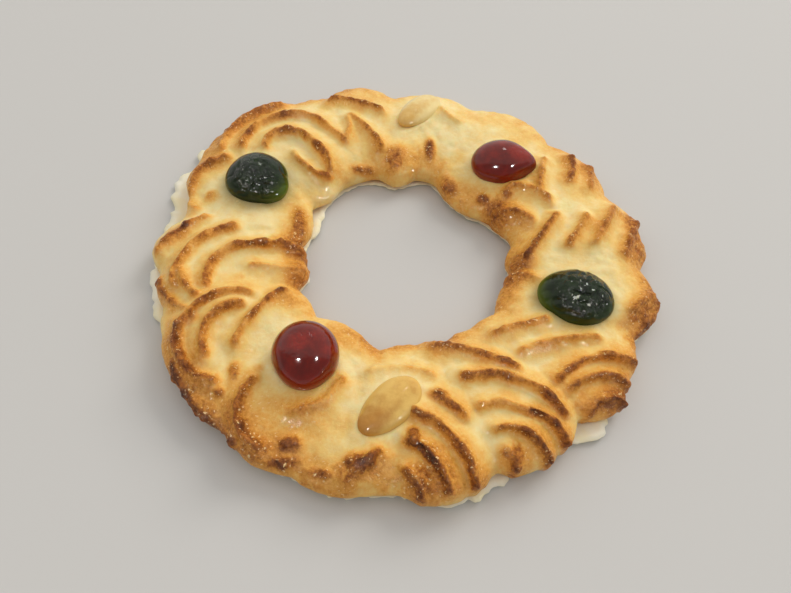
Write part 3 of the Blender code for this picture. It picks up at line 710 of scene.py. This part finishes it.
# middle, half sizes, turn, the stone's dimple and where it lies, share by which the +x end narrows,
# depth and reach of the wrinkles, how far the soft foot spreads (angle, reach, half width), and the syrup's
# stain on the dough round the green ones
cherries = dict(
    cherry_red_front=dict(kind="red", at=(-25.4, -45.4, 14.6), half=(9.5, 9.4, 9.4), turn=0,
                          dimple=0.5, dimpleAt=(-1.5, -1.8), point=0.0, wrinkle=0.25, puckerSize=3.0,
                          foot=[(-90, 1.7, 44), (-40, 0.6, 26), (-160, 0.3, 30)]),
    cherry_red_back=dict(kind="red", at=(34.2, 39.2, 13.6), half=(11.2, 8.7, 7.6), turn=-2,
                         dimple=0.3, dimpleAt=(4.5, -0.7), point=0.42, wrinkle=0.12, puckerSize=4.0,
                         foot=[(-140, 0.8, 40)]),
    cherry_green_left=dict(kind="green", at=(-51.0, 23.6, 13.2), half=(9.8, 10.2, 7.4), turn=10,
                           dimple=1.0, dimpleAt=(0, -5.0), point=0.0, wrinkle=1.0, puckerSize=7.5,
                           foot=[(-28, 1.9, 32), (20, 0.7, 30), (-165, 0.8, 34)],
                           stainAt=(-50.6, 22.6), stain=(12.0, 11.6)),
    cherry_green_right=dict(kind="green", at=(55.9, -17.4, 12.6), half=(10.6, 9.4, 6.8), turn=-10,
                            dimple=1.3, dimpleAt=(0.5, -2.0), point=0.0, wrinkle=1.1, puckerSize=8.5,
                            foot=[(165, 2.0, 55), (95, 0.9, 40), (-95, 0.4, 40), (-20, 0.4, 30)],
                            stainAt=(54.8, -17.2), stain=(12.9, 11.0)),
)
# what all four share: the dimple's half width, the dents of the puckered skin (size, share, seed), the
# folded noise of its creases, how far the foot spreads and how thin it gets, and the flesh's noises as lumps
# a metre, detail and roughness
flesh = dict(
    rows=110, columns=180, dimpleHalf=3.0, dents=[(4.5, 1.0, 8.0), (1.7, 0.9, 5.0)], dentShare=0.5,
    creaseSize=0.4, creaseFall=3, footSpread=0.02, footThin=0.04, spreadThin=0.48,
    cloud=(240, 4, 0.6), ripples=(900, 2, 0.5), paintedSparkle=(650, 2, 0.6),
    # the pale colour of the painted glints, highlights painted into the pucker, and the span of noise where
    # they show
    paintedSparkleTint=(0.80, 0.82, 0.76), paintedSparkleFrom=(0.63, 0.67),
)
# deep and clear flesh, the thin foot, how far each colour of light spreads in it, depth of the ripples in
# millimetres, weight of the syrup's coat, how much clear flesh shows in the pucker, and the share of painted
# glints there
kinds = dict(
    red=dict(deep=(0.14, 0.005, 0.001), clear=(0.26, 0.011, 0.002), rim=(0.28, 0.012, 0.002),
             scatter=(0.7, 0.05, 0.012), ripple=0.15, gloss=0.5, bruised=1.0, paintedSparkleShare=0.0),
    green=dict(deep=(0.003, 0.009, 0.001), clear=(0.010, 0.026, 0.002), rim=(0.090, 0.140, 0.006),
               scatter=(0.3, 0.5, 0.05), ripple=0.9, gloss=0.10, bruised=0.0, paintedSparkleShare=0.8),
)


def unitGrid(rows, columns):  # longitude and latitude rows of a unit sphere, from its south pole up
    lift, turn = np.meshgrid(np.linspace(-np.pi / 2, np.pi / 2, rows),
                             np.arange(columns) / columns * 2 * np.pi, indexing="ij")
    return np.stack([np.cos(lift) * np.cos(turn), np.cos(lift) * np.sin(turn), np.sin(lift)], -1)


def placed(points, size):  # leant along its length, turned about +Z and moved to its middle
    lean, turn = np.radians(size.get("lean", 0)), np.radians(size["turn"])
    x, y, z = points[..., 0], points[..., 1], points[..., 2]
    x, z = x * np.cos(lean) + z * np.sin(lean), z * np.cos(lean) - x * np.sin(lean)
    x, y = x * np.cos(turn) - y * np.sin(turn), x * np.sin(turn) + y * np.cos(turn)
    return np.stack([x, y, z], -1) + np.array(size["at"]) + np.array([*ring["middle"], 0])


# an ellipsoid that narrows to its +x end, with a round dimple in its top; the skin is puckered there by
# creases, the sharp valleys of a folded noise, and its foot spreads in lobes where it rests on the dough
def buildCherry(name, size):
    unit = unitGrid(flesh["rows"], flesh["columns"])
    points = unit * np.array(size["half"])
    points[..., 1] *= 1 - size["point"] * ease(-0.2, 1.0, unit[..., 0]) ** 1.5
    away = np.hypot(points[..., 0] - size["dimpleAt"][0], points[..., 1] - size["dimpleAt"][1])
    pucker = ease(-0.1, 0.5, unit[..., 2]) * bump(away / size["puckerSize"])
    folds = grainOf(points, flesh["creaseSize"] * size["puckerSize"], 3.0 + size["turn"])
    creases = np.clip(1 - np.abs(folds) * flesh["creaseFall"], 0, 1) ** 1.5
    dents = sum(share * grainOf(points, lump, seed + size["turn"]) for lump, share, seed in flesh["dents"])
    depth = size["dimple"] * bump(away / flesh["dimpleHalf"]) * ease(0, 0.5, unit[..., 2])
    theta = np.arctan2(unit[..., 1], unit[..., 0])
    spread = 0
    for angle, reach, half in size["foot"]:
        spread = np.maximum(spread, reach * bump(apart(theta, angle - size["turn"]) / half))
    thin = ease(0.60, 0.0, unit[..., 2]) * (flesh["footThin"] + flesh["spreadThin"] * spread)
    wider = 1 + (flesh["footSpread"] + spread / size["half"][0]) * ease(0.95, -0.05, unit[..., 2])
    points = points - unit * (size["wrinkle"] * pucker * (creases + flesh["dentShare"] * dents))[..., None]
    points[..., :2] *= wider[..., None]
    points[..., 2] -= depth
    piece = skin(size["kind"] + "Cherry" + name.split("_")[-1].capitalize(), placed(points, size), poles=True,
                 values=dict(thin=np.clip(thin, 0, 1), pucker=pucker))
    dress(piece, name, cherryFinishes[size["kind"]])


# wet, clear sugared flesh: deep in the middle, brighter where it thins out at the foot, finely rippled, and
# where the skin is puckered dotted with painted glints, pale specks of highlight painted into its colour
def candiedFruit(name, fruit):
    finish, tree, shader = newFinish(name, Roughness=0.12, IOR=1.33, Coat_Weight=fruit["gloss"],
                                     Coat_Roughness=0.04)
    soften(shader, 0.35, fruit["scatter"], 0.003)
    place = placeOf(tree)
    thin, pucker = level(tree, "thin"), level(tree, "pucker")
    cloud = between(tree, mottle(tree, place, *flesh["cloud"]), 0.3, 0.8)
    colour = blend(tree, cloud, fruit["deep"], fruit["clear"])
    colour = blend(tree, thin, colour, fruit["rim"])
    colour = blend(tree, between(tree, pucker, 0.2, 0.8, 0.0, fruit["bruised"]), colour, fruit["clear"])
    # painted glints: pale specks of highlight painted into the colour where the skin is puckered
    paintedSparkle = between(tree, mottle(tree, place, *flesh["paintedSparkle"]), *flesh["paintedSparkleFrom"])
    paintedSparkle = times(tree, paintedSparkle, between(tree, pucker, 0.35, 0.95, 0.0, fruit["paintedSparkleShare"]))
    tree.links.new(blend(tree, paintedSparkle, colour, flesh["paintedSparkleTint"]), shader.inputs["Base Color"])
    ripples = mottle(tree, place, *flesh["ripples"])
    ripples = times(tree, ripples, between(tree, pucker, 0.2, 0.9, 0.06, 1.0))
    normal = relieved(tree, ripples, fruit["ripple"])
    tree.links.new(normal, shader.inputs["Normal"])
    tree.links.new(normal, shader.inputs["Coat Normal"])
    return finish


almonds = dict(
    almond_front=dict(at=(-0.5, -59.6, 12.9), half=(11.0, 6.2, 3.1), turn=229, lean=6,
                      tints=((0.80, 0.51, 0.13), (0.55, 0.24, 0.032))),
    almond_back=dict(at=(3.0, 65.6, 12.1), half=(11.2, 5.6, 3.2), turn=236, lean=-4,
                     tints=((0.86, 0.68, 0.30), (0.74, 0.44, 0.11))),
)
# what both share: how far the +x end narrows, the ribs and dents of the skin, how brown the middle and that
# end are and how much paler the sides, and the streaks' noise as lumps a metre, detail and roughness
nut = dict(
    rows=90, columns=150, taper=0.12, ribs=9, ribDepth=0.10, ribWander=0.8, ribWanderSize=6.0,
    dent=0.10, dentSize=3.0, blush=0.30, blushEnd=0.5, blushSides=0.5,
    streaks=(300, 4, 0.6), streakShift=1.1, streakDepth=0.3,
)


# an ellipsoid that narrows toward +x, ribbed along its length by a sine of its width, which noise bends
def buildAlmond(name, size):
    unit = unitGrid(nut["rows"], nut["columns"])
    points = unit * np.array(size["half"])
    points[..., 1] *= 1 - nut["taper"] * unit[..., 0]
    bent = nut["ribWander"] * grainOf(points, nut["ribWanderSize"], 2.0)
    ribs = np.sin(unit[..., 1] * nut["ribs"] + bent) * ease(0, 0.6, unit[..., 2])
    dents = nut["dent"] * grainOf(points, nut["dentSize"], 6.0)
    points = points + unit * (nut["ribDepth"] * ribs + dents)[..., None]
    blush = nut["blush"] + nut["blushEnd"] * ease(-0.4, 0.9, unit[..., 0])
    blush = blush - nut["blushSides"] * ease(0.3, 0.9, np.abs(unit[..., 1]))
    piece = skin("glazedAlmond" + name.split("_")[-1].capitalize(), placed(points, size), poles=True,
                 values=dict(blush=np.clip(blush, 0, 1)))
    dress(piece, name, glazedAlmond(piece.name, size["tints"]))


def glazedAlmond(name, tints):  # ivory to tan, streaked along the nut, under the same glaze as the dough
    finish, tree, shader = newFinish(name, Roughness=0.40, IOR=1.25, Coat_Weight=0.5, Coat_Roughness=0.08)
    streak = mottle(tree, placeOf(tree), *nut["streaks"])
    share = shifted(tree, level(tree, "blush"), streak, nut["streakShift"])
    tree.links.new(blend(tree, between(tree, share, 0.0, 0.9), *tints), shader.inputs["Base Color"])
    tree.links.new(relieved(tree, streak, nut["streakDepth"]), shader.inputs["Normal"])
    return finish


setCamera()
setFloor()
setLights()
print("camera, table and lights are set")
buildDough()
print("dough piped and toasted")
buildWafer()
print("wafer paper torn")
cherryFinishes = {kind: candiedFruit(kind + "Cherry", fruit) for kind, fruit in kinds.items()}
for cherryName, cherrySize in cherries.items():
    buildCherry(cherryName, cherrySize)
print("cherries pressed in")
for almondName, almondSize in almonds.items():
    buildAlmond(almondName, almondSize)
print("almonds laid on")
